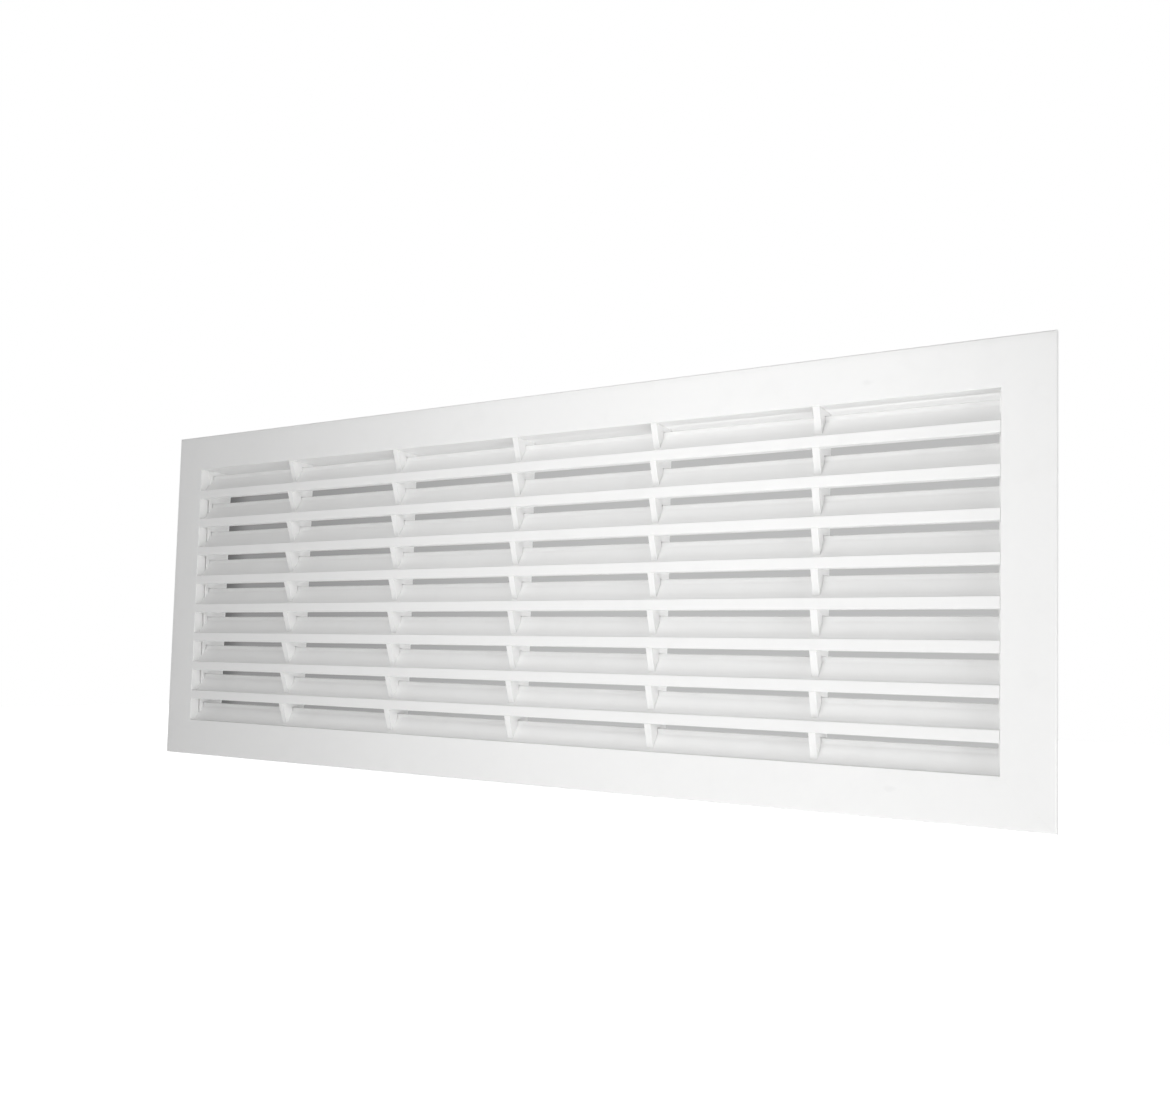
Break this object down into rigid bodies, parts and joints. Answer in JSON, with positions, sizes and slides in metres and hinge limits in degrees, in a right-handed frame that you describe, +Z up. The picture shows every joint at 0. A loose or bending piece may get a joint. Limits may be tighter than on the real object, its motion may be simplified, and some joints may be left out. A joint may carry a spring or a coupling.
{
  "type": "double deflection grille",
  "caption": "White flanged wall grille for supply or return air, with level inclined louvre blades held in slotted upright mullions inside a shallow neck.",
  "frame": {"origin": "middle of the neck, in the plane of the wall that the flange's feet rest on", "axes": "+X to the right of someone who faces the grille, +Y into the wall, +Z up"},
  "size_m": [0.65, 0.03, 0.25],
  "materials": {
    "frame_paint": "satin white powder coat, slightly uneven, with faint grey handling marks",
    "blade_paint": "satin white powder coat",
    "comb_paint": "satin white powder coat",
    "cleat_metal": "mill finish"
  },
  "bodies": {
    "root": {"frame_top": "frame_paint", "frame_bottom": "frame_paint", "frame_left": "frame_paint", "frame_right": "frame_paint", "corner_cleat_top_left": "cleat_metal", "corner_cleat_top_right": "cleat_metal", "corner_cleat_bottom_left": "cleat_metal", "corner_cleat_bottom_right": "cleat_metal", "louvre_blade_1": "blade_paint", "louvre_blade_2": "blade_paint", "louvre_blade_3": "blade_paint", "louvre_blade_4": "blade_paint", "louvre_blade_5": "blade_paint", "louvre_blade_6": "blade_paint", "louvre_blade_7": "blade_paint", "louvre_blade_8": "blade_paint", "sill_blade": "blade_paint", "mullion_1": "comb_paint", "mullion_2": "comb_paint", "mullion_3": "comb_paint", "mullion_4": "comb_paint", "mullion_5": "comb_paint", "end_comb_left": "comb_paint", "end_comb_right": "comb_paint"}
  },
  "joints": []
}
